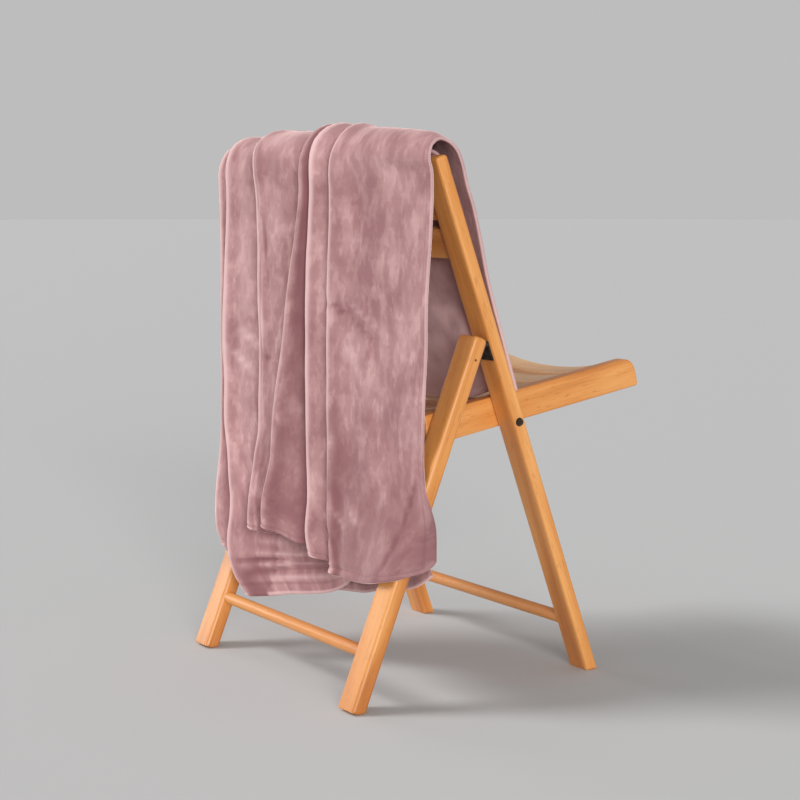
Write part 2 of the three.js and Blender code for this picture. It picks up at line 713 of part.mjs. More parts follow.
// Closed sheet of even thickness about a grid of points
function sheetGeometry(grid, thickness) {
  const rows = grid.length;
  const columns = grid[0].length;
  const positions = [];
  const normals = grid.map((row, r) => row.map((_, c) => {
    const across = grid[r][Math.min(c + 1, columns - 1)].clone().sub(grid[r][Math.max(c - 1, 0)]);
    const along = grid[Math.min(r + 1, rows - 1)][c].clone().sub(grid[Math.max(r - 1, 0)][c]);
    return across.cross(along).normalize();
  }));
  for (const side of [0.5, -0.5]) {
    grid.forEach((row, r) => row.forEach((point, c) => {
      const place = point.clone().addScaledVector(normals[r][c], side * thickness);
      positions.push(place.x, place.y, place.z);
    }));
  }
  const at = (side, r, c) => side * rows * columns + r * columns + c;
  const index = [];
  const quad = (a, b, c, d) => index.push(a, b, c, a, c, d);
  for (let r = 0; r < rows - 1; r += 1) {
    for (let c = 0; c < columns - 1; c += 1) {
      quad(at(0, r, c), at(0, r, c + 1), at(0, r + 1, c + 1), at(0, r + 1, c));
      quad(at(1, r, c), at(1, r + 1, c), at(1, r + 1, c + 1), at(1, r, c + 1));
    }
  }
  for (let c = 0; c < columns - 1; c += 1) {
    quad(at(0, 0, c), at(1, 0, c), at(1, 0, c + 1), at(0, 0, c + 1));
    quad(at(0, rows - 1, c + 1), at(1, rows - 1, c + 1), at(1, rows - 1, c), at(0, rows - 1, c));
  }
  for (let r = 0; r < rows - 1; r += 1) {
    quad(at(0, r + 1, 0), at(1, r + 1, 0), at(1, r, 0), at(0, r, 0));
    quad(at(0, r, columns - 1), at(1, r, columns - 1), at(1, r + 1, columns - 1), at(0, r + 1, columns - 1));
  }
  const geometry = new THREE.BufferGeometry();
  geometry.setAttribute("position", new THREE.Float32BufferAttribute(positions, 3));
  geometry.setIndex(index);
  return geometry;
}

function addThrow() {
  addPiece("throw", sheetGeometry(clothGrid(), cloth.thickness), plush);
}

addPosts();
addRearLegs();
addRails();
addSeatSlats();
addBackSlats();
addStretchers();
addPivots();
addHinges();
addThrow();

// The origin is on the floor, below the middle of the whole object
const box = new THREE.Box3().setFromObject(object);
object.position.set(-(box.min.x + box.max.x) / 2, -(box.min.y + box.max.y) / 2, 0);
object.updateMatrixWorld(true);

export default object;
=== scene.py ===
import math

import bmesh
import bpy
import numpy as np
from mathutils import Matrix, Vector, noise


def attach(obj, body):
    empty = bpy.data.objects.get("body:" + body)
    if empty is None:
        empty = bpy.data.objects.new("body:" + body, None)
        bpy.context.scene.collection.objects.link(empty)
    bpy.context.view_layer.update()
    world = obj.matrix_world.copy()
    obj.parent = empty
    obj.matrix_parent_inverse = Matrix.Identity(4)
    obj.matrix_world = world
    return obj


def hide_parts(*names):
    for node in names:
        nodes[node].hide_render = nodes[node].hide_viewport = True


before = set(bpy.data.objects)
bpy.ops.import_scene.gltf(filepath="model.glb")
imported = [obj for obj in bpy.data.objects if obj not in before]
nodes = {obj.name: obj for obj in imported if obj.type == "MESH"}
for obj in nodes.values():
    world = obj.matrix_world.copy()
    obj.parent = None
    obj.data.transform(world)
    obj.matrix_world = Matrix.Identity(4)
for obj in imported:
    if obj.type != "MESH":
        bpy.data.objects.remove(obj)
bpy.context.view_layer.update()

scene = bpy.context.scene
scene.view_settings.view_transform = "Standard"


def colour(red, green, blue):
    # a colour picked on screen, 0 to 255, as the linear one that shaders use
    def linear(value):
        value /= 255
        return value / 12.92 if value <= 0.04045 else ((value + 0.055) / 1.055) ** 2.4

    return (linear(red), linear(green), linear(blue), 1)


class Sock:
    # a shader socket that can be used in sums
    def __init__(self, paint, out):
        self.paint = paint
        self.out = out

    def maths(self, operation, first, second=0.0):
        return self.paint.node("ShaderNodeMath", {"operation": operation}, [first, second])

    def __add__(self, other):
        return self.maths("ADD", self, other)

    __radd__ = __add__

    def __sub__(self, other):
        return self.maths("SUBTRACT", self, other)

    def __rsub__(self, other):
        return self.maths("SUBTRACT", other, self)

    def __mul__(self, other):
        return self.maths("MULTIPLY", self, other)

    __rmul__ = __mul__

    def __pow__(self, other):
        return self.maths("POWER", self, other)

    def __rpow__(self, other):
        return self.maths("POWER", other, self)

    def sine(self):
        return self.maths("SINE", self)

    def size(self):
        return self.maths("ABSOLUTE", self)

    def orLess(self, other):
        return self.maths("MINIMUM", self, other)

    def above(self, low, high):
        # 0 below low, 1 above high, soft between
        settings = {"interpolation_type": "SMOOTHSTEP"}
        values = {0: self, 1: low, 2: high, 3: 0.0, 4: 1.0}
        return self.paint.node("ShaderNodeMapRange", settings, values)


class Paint:
    # one material and the nodes that are put in it
    def __init__(self, name, **constants):
        self.material = bpy.data.materials.new(name)
        self.material.use_nodes = True
        self.tree = self.material.node_tree
        self.shader = self.tree.nodes["Principled BSDF"]
        for socket, value in constants.items():
            self.shader.inputs[socket.replace("_", " ")].default_value = value

    def node(self, kind, settings=None, values=(), output=0):
        made = self.tree.nodes.new(kind)
        for key, value in (settings or {}).items():
            if key == "stops":
                self.setStops(made.color_ramp, value)
            else:
                setattr(made, key, value)
        pairs = values.items() if isinstance(values, dict) else enumerate(values)
        for socket, value in pairs:
            if isinstance(value, Sock):
                self.tree.links.new(value.out, made.inputs[socket])
            else:
                made.inputs[socket].default_value = value
        return Sock(self, made.outputs[output])

    def setStops(self, ramp, stops):
        while len(ramp.elements) < len(stops):
            ramp.elements.new(0.5)
        for element, (place, shade) in zip(ramp.elements, stops):
            element.position = place
            element.color = shade

    def ramp(self, factor, stops):
        return self.node("ShaderNodeValToRGB", {"stops": stops}, [factor])

    def mix(self, factor, first, second):
        values = {0: factor, 6: first, 7: second}
        return self.node("ShaderNodeMix", {"data_type": "RGBA"}, values, output=2)

    def noise(self, place, scale, detail=3.0, rough=0.5, distortion=0.0):
        values = {"Vector": place, "Scale": scale, "Detail": detail, "Roughness": rough,
                  "Distortion": distortion}
        return self.node("ShaderNodeTexNoise", {}, values)

    def place(self):
        # Object coordinates
        return self.node("ShaderNodeTexCoord", output=3)

    def part(self, place, axis):
        # one of the three numbers of a place
        return self.node("ShaderNodeSeparateXYZ", values=[place], output=axis)

    def turned(self, place, angles=(0, 0, 0), scale=(1, 1, 1), location=(0, 0, 0)):
        values = {"Vector": place, "Location": location, "Rotation": angles, "Scale": scale}
        return self.node("ShaderNodeMapping", {"vector_type": "POINT"}, values)

    def bump(self, height, distance, strength):
        values = {"Strength": strength, "Distance": distance, "Height": height}
        return self.node("ShaderNodeBump", {}, values)

    def feed(self, **sources):
        for socket, source in sources.items():
            self.tree.links.new(source.out, self.shader.inputs[socket.replace("_", " ")])
        return self.material


wood = {
    "pale": colour(232, 166, 96),
    "middle": colour(216, 142, 70),
    "deep": colour(182, 105, 43),
    "line": colour(150, 82, 34),
    "hole": colour(70, 36, 20),
    "roughness": 0.42,
    "lacquer": 0.25,
    "bands": (2.2, 26, 26),             # how often they change in a metre, along and across
    "streaks": (9, 330, 330),
    "flecks": (55, 700, 700),
    "streakShare": 0.38,
    "fleckShare": 0.5,
    "grainDepth": 0.0004,
    "pin": (-0.06806, 0.485),           # y and z of a pin's end, which shows on a rear leg
    "pinSize": (0.0012, 0.0024),        # radius where it is darkest, and where it ends
}

# the seat slats are bleached
slatWood = dict(wood, pale=colour(224, 182, 138), middle=colour(206, 158, 112),
                deep=colour(178, 128, 84), line=colour(140, 96, 58), roughness=0.5)


def grainMaterial(name, direction, tones, seed, pinned):
    # fine grain that runs along a board's length; direction is the board's run in the frame
    paint = Paint(name, Coat_Weight=tones["lacquer"], Coat_Roughness=0.25)
    turn = Vector(direction).rotation_difference(Vector((1, 0, 0))).to_euler()
    along = paint.turned(paint.place(), tuple(turn), (1, 1, 1), (seed, seed * 0.37, 0))
    bands = paint.noise(paint.turned(along, scale=tones["bands"]), 1.0, 4.0, 0.55, 0.6)
    streaks = paint.noise(paint.turned(along, scale=tones["streaks"]), 1.0, 3.0, 0.6, 0.2)
    flecks = paint.noise(paint.turned(along, scale=tones["flecks"]), 1.0, 1.0).above(0.66, 0.74)
    stops = [(0.28, tones["pale"]), (0.5, tones["middle"]), (0.74, tones["deep"])]
    body = paint.ramp(bands, stops)
    body = paint.mix(streaks.above(0.5, 0.78) * tones["streakShare"], body, tones["deep"])
    body = paint.mix(flecks * tones["fleckShare"], body, tones["line"])
    if pinned:
        y = paint.part(paint.place(), 1) - tones["pin"][0]
        z = paint.part(paint.place(), 2) - tones["pin"][1]
        away = (y ** 2.0 + z ** 2.0) ** 0.5
        body = paint.mix(1 - away.above(*tones["pinSize"]), body, tones["hole"])
    gloss = streaks * 0.16 + (tones["roughness"] - 0.08)
    grain = paint.bump(streaks - flecks * 0.5, tones["grainDepth"], 0.35)
    return paint.feed(Base_Color=body, Roughness=gloss, Normal=grain)


postRun = (0, -283, 764)
legRun = (0, 211, 512)
railRun = (0, 163, 27)
crosswise = (1, 0, 0)

boards = {
    "post_right": (postRun, wood), "post_left": (postRun, wood),
    "rear_leg_right": (legRun, wood), "rear_leg_left": (legRun, wood),
    "seat_rail_right": (railRun, wood), "seat_rail_left": (railRun, wood),
    "back_slat_upper": (crosswise, wood), "back_slat_lower": (crosswise, wood),
    "front_stretcher": (crosswise, wood), "rear_stretcher": (crosswise, wood),
}
boards.update({f"seat_slat_{count}": (crosswise, slatWood) for count in range(1, 7)})


def dress(node, material):
    held = nodes[node].data.materials
    held.clear()
    held.append(material)


for count, (name, (direction, tones)) in enumerate(boards.items()):
    seed = 0.7 + 1.3 * count
    dress(name, grainMaterial(name + "_grain", direction, tones, seed, "leg" in name))
print("wood done")


steel = {
    "bright": colour(96, 88, 80),
    "dull": colour(52, 47, 43),
    "metal": 0.85,
    "roughness": 0.38,
    "scratchDepth": 0.0002,
}


def steelMaterial():
    paint = Paint("hinge_steel", Metallic=steel["metal"])
    blotches = paint.noise(paint.place(), 90.0, 4.0, 0.6)
    brushed = paint.turned(paint.place(), (0, 0.5, 0), (300, 300, 40))
    scratches = paint.noise(brushed, 1.0, 2.0)
    shade = paint.ramp(blotches, [(0.35, steel["dull"]), (0.7, steel["bright"])])
    rough = blotches * 0.25 + steel["roughness"]
    dents = paint.bump(scratches, steel["scratchDepth"], 0.3)
    return paint.feed(Base_Color=shade, Roughness=rough, Normal=dents)


hingeSteel = steelMaterial()
for name in nodes:
    if name.startswith(("hinge_plate", "pivot_bolt", "rear_pin")):
        dress(name, hingeSteel)
print("steel done")


# lengths are in metres; columns count from the free right edge, rows from the front hem
throw = {
    "columns": 85,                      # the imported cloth's own grid
    "rows": 31,
    "flat": (1.80, 1.12),               # its size before it was hung
    "step": 0.0088,                     # size of the finer grid's squares
    "thickness": 0.0045,                # of its hems
    "bodyShare": 0.74,                  # how much of that the rest has
    "stitchShare": 0.5,                 # how much of it the stitches press away
    "stitchWidth": 0.0015,
    "hem": 0.0115,                      # from the edge to the stitches
    "leftFolds": (13, 24, 35, 45, 63, 73),      # columns where a panel turns back under itself
    "doubleRims": (45, 73),             # the folds with a second, finer ridge beside them
    "covered": {13: (18, 23), 24: (29, 34), 35: (40, 44), 45: (53, 62), 63: (68, 72)},

    # the way that rows face, in degrees: forwards, over the top, then backwards
    "facing": ([0, 3, 4, 5, 6], [20.2, 20.2, 90, 140, 180]),

    # how much shorter the cloth hangs at some columns
    "shorter": [(24, 0), (25, 0.002), (28, 0.012), (35, 0.012), (38, 0.007), (44, 0.001),
                (45, 0), (63, 0), (63.5, 0.010), (66, 0.036), (67, 0.040), (68, 0.044),
                (69, 0.046), (70, 0.044), (71, 0.017), (72, 0)],

    # folds moved right: their columns, those columns' shares, then distances at some heights
    "moved": [
        ((0, 13, 17, 24), (0, 1, 1, 0),
         [(0.15, 0.014), (0.25, 0.016), (0.50, 0.020), (0.78, 0.022)]),
        ((17, 24, 28, 35), (0, 1, 1, 0),
         [(0.20, 0.016), (0.50, 0.020), (0.70, 0.022), (0.78, 0.028)]),
        ((28, 35, 39, 45), (0, 1, 0.4, 0),
         [(0.18, 0.012), (0.23, 0.018), (0.37, 0.038), (0.44, 0.043), (0.51, 0.043),
          (0.61, 0.036)]),
        ((39, 45, 52, 63), (0, 1, 1, 0),
         [(0.20, 0.007), (0.50, 0.010), (0.78, 0.016)]),
    ],

    "meanLift": 0.0010,
    "waves": [(0.0036, (0.060, 0.30, 0.34), 3.7), (0.0020, (0.026, 0.20, 0.075), 9.1)],
    "rimHeight": 0.0055,                # a fold's plump rim, how round it is and where it ends
    "rimRound": 0.005,
    "rimReach": 0.030,
    "groove": (0.0030, 0.012, 0.0035),  # depth, place and width of the groove in a double rim
    "foldCurl": (0.009, 0.006),         # how far a hem curls up at a fold, and how far along
    "sideCurl": (0.006, 0.007),         # the same at the cloth's free side
    "swell": 0.014,                     # how far the front panel swells back between the posts
    "swellHeight": 0.52,
    "swellWidth": 0.055,
    "betweenPosts": (-0.185, 0.212, 0.035),     # left, right, and how softly it ends
    "crumple": 0.008,
    "crumples": ((0.032, 0.2, 0.030), 5.3),

    # painted light and shade for the cloth's colour: above 0 a painted highlight where the pile
    # would catch the light, below 0 painted shade in hollows
    # painted highlight on each fold's rim, painted shade just beyond it, and a second painted
    # highlight beside a double rim
    "rimHighlight": (1.2, 0.0045, 0.0055),   # strength, place and width
    "rimShade": (0.40, 0.021, 0.010),
    "doubleRimHighlight": (0.7, 0.0175, 0.003),
    # painted shade where a panel slips under the next fold: strength, start and reach
    "coveredShade": (0.9, 0.014, 0.013),
    "crease": 0.0026,                   # painted shade is full in a crease this deep; ridges get a painted highlight
    # painted light on the front panel's inner side, and painted light and shade over its
    # crumples
    "frontPaintedLight": 0.5,
    "frontCrumpleShading": (0.9, 0.53, 0.10),
    "lowShade": (0.70, 0.35),           # painted shade near the hems: of the main panel and of the others
    "lowHeights": (0.45, 0.20),
    # painted light and shade for each panel, at some columns
    "panelShading": [(0, -0.05), (12, 0.0), (14, 0.55), (24, 0.55), (27, -0.25), (35, -0.25),
                  (40, 0.10), (46, 0.20), (52, 0.50), (72, 0.50), (74, 0.40), (84, 0.40)],

    # creases and soft ridges that hang behind, for a range of columns:
    # x and z of both ends of each, half its width and its height
    "ridges": [
        ((0, 13.5), [
            (0.040, 0.568, 0.093, 0.540, 0.0050, -0.0025),
            (0.093, 0.540, 0.146, 0.504, 0.0050, -0.0022),
            (0.060, 0.579, 0.167, 0.515, 0.0070, 0.0020),
            (0.076, 0.514, 0.130, 0.423, 0.0100, 0.0020),
            (0.195, 0.417, 0.220, 0.394, 0.0035, 0.0022),
            (0.054, 0.257, 0.107, 0.213, 0.0045, 0.0026),
            (0.034, 0.243, 0.073, 0.183, 0.0050, -0.0025),
            (0.090, 0.273, 0.139, 0.230, 0.0060, 0.0018),
            (0.127, 0.363, 0.179, 0.283, 0.0090, 0.0018),
            (0.243, 0.322, 0.243, 0.248, 0.0040, -0.0026),
            (0.243, 0.248, 0.228, 0.199, 0.0040, -0.0026),
        ]),
        ((39.5, 63), [
            (-0.222, 0.527, -0.180, 0.523, 0.0035, -0.0026),
            (-0.222, 0.536, -0.180, 0.533, 0.0035, 0.0010),
            (-0.226, 0.503, -0.148, 0.476, 0.0050, 0.0016),
            (-0.254, 0.477, -0.188, 0.438, 0.0060, 0.0016),
            (-0.129, 0.689, -0.124, 0.615, 0.0070, -0.0028),
            (-0.137, 0.555, -0.120, 0.475, 0.0090, 0.0020),
            (-0.148, 0.473, -0.107, 0.464, 0.0050, -0.0022),
            (-0.158, 0.154, -0.049, 0.165, 0.0040, 0.0035),
            (-0.054, 0.164, 0.057, 0.194, 0.0040, 0.0035),
            (-0.155, 0.145, -0.043, 0.158, 0.0040, -0.0025),
            (-0.048, 0.157, 0.066, 0.176, 0.0040, -0.0025),
            (-0.138, 0.138, -0.033, 0.154, 0.0040, 0.0035),
            (-0.039, 0.152, 0.122, 0.180, 0.0040, 0.0030),
            (-0.122, 0.130, 0.071, 0.165, 0.0050, -0.0035),
            (0.062, 0.163, 0.173, 0.179, 0.0050, -0.0030),
            (-0.123, 0.118, -0.003, 0.137, 0.0050, 0.0028),
            (-0.012, 0.135, 0.200, 0.178, 0.0050, 0.0028),
            (-0.144, 0.179, -0.073, 0.182, 0.0060, 0.0020),
        ]),
    ],
}


def sideGrids(mesh, columns, rows):
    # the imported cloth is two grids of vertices, its outer and inner side, joined round the rim
    shell = bmesh.new()
    shell.from_mesh(mesh)
    bmesh.ops.remove_doubles(shell, verts=shell.verts, dist=1e-6)
    bmesh.ops.triangulate(shell, faces=shell.faces)
    shell.verts.index_update()
    points = np.array([v.co for v in shell.verts])
    across = {}                         # each directed edge and the third corner beside it
    for face in shell.faces:
        a, b, c = (v.index for v in face.verts)
        across[a, b], across[b, c], across[c, a] = c, a, b
    corners = [v.index for v in shell.verts if len(v.link_edges) != 6]
    shell.free()
    starts = [((1, 0), (1, 1)), ((1, 1), (1, 0)), ((0, 1), (1, 1)),
              ((1, 1), (0, 1)), ((1, 0), (0, 1)), ((0, 1), (1, 0))]
    found = []
    for edge in (edge for corner in corners for edge in across if edge[0] == corner):
        for near, far in starts:
            labels = {edge[0]: (0, 0), edge[1]: near, across[edge]: far}
            if not spread(labels, edge, across, columns, rows):
                continue
            grid = np.zeros((columns, rows), int)
            for vertex, (i, j) in labels.items():
                grid[i, j] = vertex
            if set(grid[::columns - 1, ::rows - 1].ravel()) <= set(corners):
                found.append(points[grid])
    return found


def spread(labels, edge, across, columns, rows):
    # walks over the triangles; two that share an edge form a parallelogram of the grid
    queue = [edge, (edge[1], across[edge]), (across[edge], edge[0])]
    done = set(queue)
    taken = set(labels.values())
    while queue:
        a, b = queue.pop()
        if (b, a) in done:
            continue
        here, there = across[a, b], across[b, a]
        label = tuple(labels[a][axis] + labels[b][axis] - labels[here][axis] for axis in (0, 1))
        if not (0 <= label[0] < columns and 0 <= label[1] < rows):
            continue
        if there not in labels:
            if label in taken:
                return False
            labels[there] = label
            taken.add(label)
        elif labels[there] != label:
            return False
        done.update([(b, a), (a, there), (there, b)])
        queue += [(a, there), (there, b)]
    return len(labels) == columns * rows


def middleGrid(node):
    # the cloth's middle, from its right edge (first column) and its front hem (first row)
    found = sideGrids(nodes[node].data, throw["columns"], throw["rows"])
    found = [g for g in found if g[0, 0, 0] > g[-1, 0, 0] and g[0, 0, 2] > g[0, -1, 2]]
    found.sort(key=lambda g: g[4:10, 16:, 1].mean())
    return (found[0] + found[-1]) / 2


def smoothed(points, fineAt):
    # a smooth curve through the points of each line of the grid, along its first axis, and
    # where on the old grid each new point lies; its steps are finer after the places fineAt
    gaps = np.diff(points, axis=0)
    lengths = np.maximum(np.linalg.norm(gaps, axis=2, keepdims=True), 1e-6)
    slopes = gaps / lengths
    tangents = np.concatenate([slopes[:1], np.zeros_like(slopes[1:]), slopes[-1:]])
    before, after = lengths[:-1], lengths[1:]
    tangents[1:-1] = (slopes[:-1] * after + slopes[1:] * before) / (before + after)
    parts, marks = [], []
    for k, length in enumerate(lengths):
        step = throw["step"] * (0.34 if k in fineAt else 1)
        count = max(2, round(float(length.mean()) / step))
        for t in np.arange(count) / count:
            near, far = (1 + 2 * t) * (1 - t) ** 2, t * t * (3 - 2 * t)
            lean, pull = t * (1 - t) ** 2 * length, t * t * (t - 1) * length
            straight = near * points[k] + far * points[k + 1]
            parts.append(straight + lean * tangents[k] + pull * tangents[k + 1])
            marks.append(k + t)
    return np.array(parts + [points[-1]]), np.array(marks + [len(lengths)])


def runLengths(points):
    # distance along each line of the grid, from its first point
    steps = np.linalg.norm(np.diff(points, axis=0), axis=2)
    return np.concatenate([np.zeros((1, points.shape[1])), np.cumsum(steps, axis=0)])


def soft(values):
    # 0 to 1 with soft ends
    held = np.clip(values, 0, 1)
    return held * held * (3 - 2 * held)


def bell(values, middle, width):
    # 1 at the middle, and close to 0 from twice the width on
    return np.exp(-((values - middle) / width) ** 2)


def softNoise(points, size, seed):
    # values from about -1 to 1 that change over a length of size, its three numbers
    flat = points.reshape(-1, 3) / np.array(size) + seed
    return np.array([noise.noise(Vector(p)) for p in flat]).reshape(points.shape[:2])


def shortened(middle, columns, rows):
    # each column keeps its line and ends higher up on it
    places, amounts = zip(*throw["shorter"])
    hung, lower = 12, 20                # rows that hang straight down, and those that give way
    made = middle.copy()
    for i, cut in enumerate(np.interp(columns, places, amounts)):
        if cut < 0.0005:
            continue
        heights = middle[i, :, 2]
        last = np.interp(-(heights[-1] + cut), -heights[rows > hung], rows[rows > hung])
        share = (last - lower) / (rows[-1] - lower)
        spots = np.where(rows > lower, lower + (rows - lower) * share, rows)
        for axis in range(3):
            made[i, :, axis] = np.interp(spots, rows, middle[i, :, axis])
    return made


def moved(middle, columns, rows):
    made = middle.copy()
    behind = soft((rows - 4) / 2.5)[None, :]
    for span, shares, places in throw["moved"]:
        heights, amounts = zip(*places)
        share = np.interp(columns, span, shares)[:, None] * behind
        made[:, :, 0] += share * np.interp(middle[:, :, 2], heights, amounts)
    return made


def distanceFrom(bend, columns, reach):
    # run of cloth from a turn to each point: above 0 on the panel's side of it
    at = np.interp(bend, columns, np.arange(len(columns)))
    low = int(at)
    high = min(low + 1, len(columns) - 1)
    turn = reach[low] + (at - low) * (reach[high] - reach[low])
    return turn[None, :] - reach


def addRidges(lift, tone, middle, columns, rows):
    hanging = (rows > 5.5)[None, :]
    for (low, high), lines in throw["ridges"]:
        own = ((columns >= low) & (columns <= high))[:, None]
        for x0, z0, x1, z1, width, height in lines:
            run = np.array([x1 - x0, z1 - z0])
            spot = middle[:, :, [0, 2]] - np.array([x0, z0])
            along = np.clip((spot @ run) / (run @ run), 0, 1)
            off = np.linalg.norm(spot - along[:, :, None] * run, axis=2)
            ends = 0.35 + 0.65 * np.sin(np.pi * along)
            shape = ends * bell(off, 0, width) * hanging
            lift += height * shape * (own | (height < 0))
            # painted shade in the creases and painted highlight on the ridges
            tone += np.clip(height / throw["crease"], -0.8, 0.6) * shape * own


def addRims(lift, tone, middle, columns, rows):
    # plump rims at the left folds, with a painted highlight on each and painted shade just
    # beyond it; returns how far the hems curl up at them
    reach = runLengths(middle)
    nearHem = np.clip((rows - 28) / 2, 0, 1)[None, :] ** 2
    fromTop = np.interp(rows, [2, 5.5], [0, 1])[None, :]
    rise, along = throw["sideCurl"]
    upward = rise * np.exp(-reach / along) * nearHem
    rise, along = throw["foldCurl"]
    depth, place, width = throw["groove"]
    for bend in throw["leftFolds"]:
        gap = distanceFrom(bend, columns, reach)
        rounded = np.sqrt(1 - (1 - np.clip(gap / throw["rimRound"], 0, 1)) ** 2)
        fading = 1 - soft((gap - throw["rimRound"]) / throw["rimReach"])
        lift += throw["rimHeight"] * rounded * fading * fromTop
        # painted highlight along the rim and painted shade just beyond it
        tone += throw["rimHighlight"][0] * bell(gap, *throw["rimHighlight"][1:]) * fromTop
        tone -= throw["rimShade"][0] * bell(gap, *throw["rimShade"][1:]) * fromTop
        if bend in throw["doubleRims"]:
            lift -= depth * bell(gap, place, width) * (rows > 5)[None, :]
            tone += throw["doubleRimHighlight"][0] * bell(gap, *throw["doubleRimHighlight"][1:]) * fromTop
        upward += rise * np.exp(-np.abs(gap) / along) * nearHem
    return upward


def shadeCovered(tone, middle, columns, rows):
    # painted shade: a panel's colour is darker where it slips under the next fold
    strength, start, reach = throw["coveredShade"]
    hanging = (rows > 4.5)[None, :]
    for bend, (low, high) in throw["covered"].items():
        line = middle[np.searchsorted(columns, bend)][rows > 6]
        line = line[np.argsort(line[:, 2])]
        gap = np.interp(middle[:, :, 2], line[:, 2], line[:, 0]) - middle[:, :, 0]
        own = ((columns >= low) & (columns <= high))[:, None] & (gap > -0.02) & hanging
        tone -= strength * np.exp(-np.clip(gap - start, 0, 1) / reach) * own


def swellFront(made, tone, middle, rows):
    # the front panel swells back between the posts and is crumpled there; its colour gets
    # painted light, and painted light and shade over the crumples
    x, z = middle[:, :, 0], middle[:, :, 2]
    left, right, end = throw["betweenPosts"]
    within = soft((right - x) / end) * soft((x - left) / end)
    crumple = softNoise(middle, *throw["crumples"])
    swollen = (rows < 3)[None, :] * bell(z, throw["swellHeight"], throw["swellWidth"])
    made[:, :, 1] -= swollen * within * (throw["swell"] + throw["crumple"] * crumple)
    strength, height, width = throw["frontCrumpleShading"]
    crumpleShading = crumple * within * strength * bell(z, height, width)
    tone += soft((5.5 - rows) / 4.5)[None, :] * (crumpleShading + throw["frontPaintedLight"])


def shadePanels(tone, middle, columns):
    # painted light and shade for each panel, and painted shade towards the hems
    tone += np.interp(columns, *zip(*throw["panelShading"]))[:, None]
    low = np.where(columns <= 13, *throw["lowShade"])[:, None]
    height, end = throw["lowHeights"]
    tone -= low * soft((height - middle[:, :, 2]) / end)


def relieved(middle, columns, rows):
    # waves, creases and fold rims; layers that lie on each other move together; also returns
    # the painted light and shade that goes into the cloth's colour
    hanging = np.interp(rows, [4.5, 6.5], [0.3, 1])[None, :]
    lift = np.full(middle.shape[:2], throw["meanLift"])
    for height, size, seed in throw["waves"]:
        lift += height * softNoise(middle, size, seed) * hanging
    tone = np.zeros_like(lift)
    addRidges(lift, tone, middle, columns, rows)
    shadeCovered(tone, middle, columns, rows)
    upward = addRims(lift, tone, middle, columns, rows)
    turn = np.radians(np.interp(rows, *throw["facing"]))
    outwards = np.stack([np.zeros_like(turn), np.cos(turn), np.sin(turn)], axis=1)
    made = middle + lift[:, :, None] * outwards[None, :, :]
    made[:, :, 2] += upward
    swellFront(made, tone, middle, rows)
    shadePanels(tone, middle, columns)
    return made, tone


def clothPiece(name, points, tone):
    # a flat grid of squares whose vertices go to the points; its UV map is in metres of cloth
    columns, rows = points.shape[:2]
    shape = bmesh.new()
    bmesh.ops.create_grid(shape, x_segments=columns - 1, y_segments=rows - 1, size=1)
    across = runLengths(points).mean(axis=1)
    down = runLengths(points.transpose(1, 0, 2)).mean(axis=1)
    sheetMap = shape.loops.layers.uv.new("cloth")
    # each point's painted light and shade, kept on the cloth for its colour
    tones = shape.verts.layers.float.new("tone")
    spots = {}
    for vertex in shape.verts:
        i = round((vertex.co.x + 1) / 2 * (columns - 1))
        j = round((vertex.co.y + 1) / 2 * (rows - 1))
        spots[vertex.index] = (i, j)
    for face in shape.faces:
        face.smooth = True
        for loop in face.loops:
            i, j = spots[loop.vert.index]
            loop[sheetMap].uv = (across[i], down[j])
    for vertex in shape.verts:
        vertex.co = points[spots[vertex.index]]
        vertex[tones] = tone[spots[vertex.index]]
    data = bpy.data.meshes.new(name)
    shape.to_mesh(data)
    shape.free()
    piece = bpy.data.objects.new(name, data)
    scene.collection.objects.link(piece)
    return piece, spots, across, down


def addBody(piece, spots, across, down):
    # the cloth's thickness: full in the hems, pressed at their stitches, thinner elsewhere
    group = piece.vertex_groups.new(name="body")
    for vertex, (i, j) in spots.items():
        edge = min(down[-1] - down[j], down[j], across[i])
        share = 1.0 if edge < throw["hem"] else throw["bodyShare"]
        share -= throw["stitchShare"] * float(bell(edge, throw["hem"], throw["stitchWidth"]))
        group.add([vertex], share, "REPLACE")
    body = piece.modifiers.new("body", "SOLIDIFY")
    body.thickness = throw["thickness"]
    body.offset = 0
    body.vertex_group = "body"


plush = {
    "light": colour(197, 158, 157),
    "middle": colour(175, 134, 134),
    "dark": colour(152, 110, 112),
    "stitch": colour(140, 96, 98),
    # painted highlight and painted shade colours
    "paintedHighlight": colour(226, 190, 188),
    "paintedShade": colour(122, 78, 82),
    "foldShare": 0.85,                  # how strongly the painted highlight and painted shade are mixed in
    "foldRange": 1.3,                   # the painted shading at which they are full
    "sheen": 0.9,
    "sheenColour": colour(243, 210, 208),
    "patches": (11.0, 3.0, 0.5, 0.3),   # scale, detail, roughness and distortion
    "leaning": (34.0, 3.0, 0.55, 0.2),
    "falling": (58.0, 3.0, 0.6, 0.2),
    "rows": (5, 120, 1),
    "nap": (1100.0, 2.0, 0.6),
    # painted highlight along the hem edges: where it is full and where it ends
    "hemHighlight": (0.0015, 0.0045),
    "groove": (0.0006, 0.0022),
    "threads": 2100.0,
    "depth": 0.0022,
}


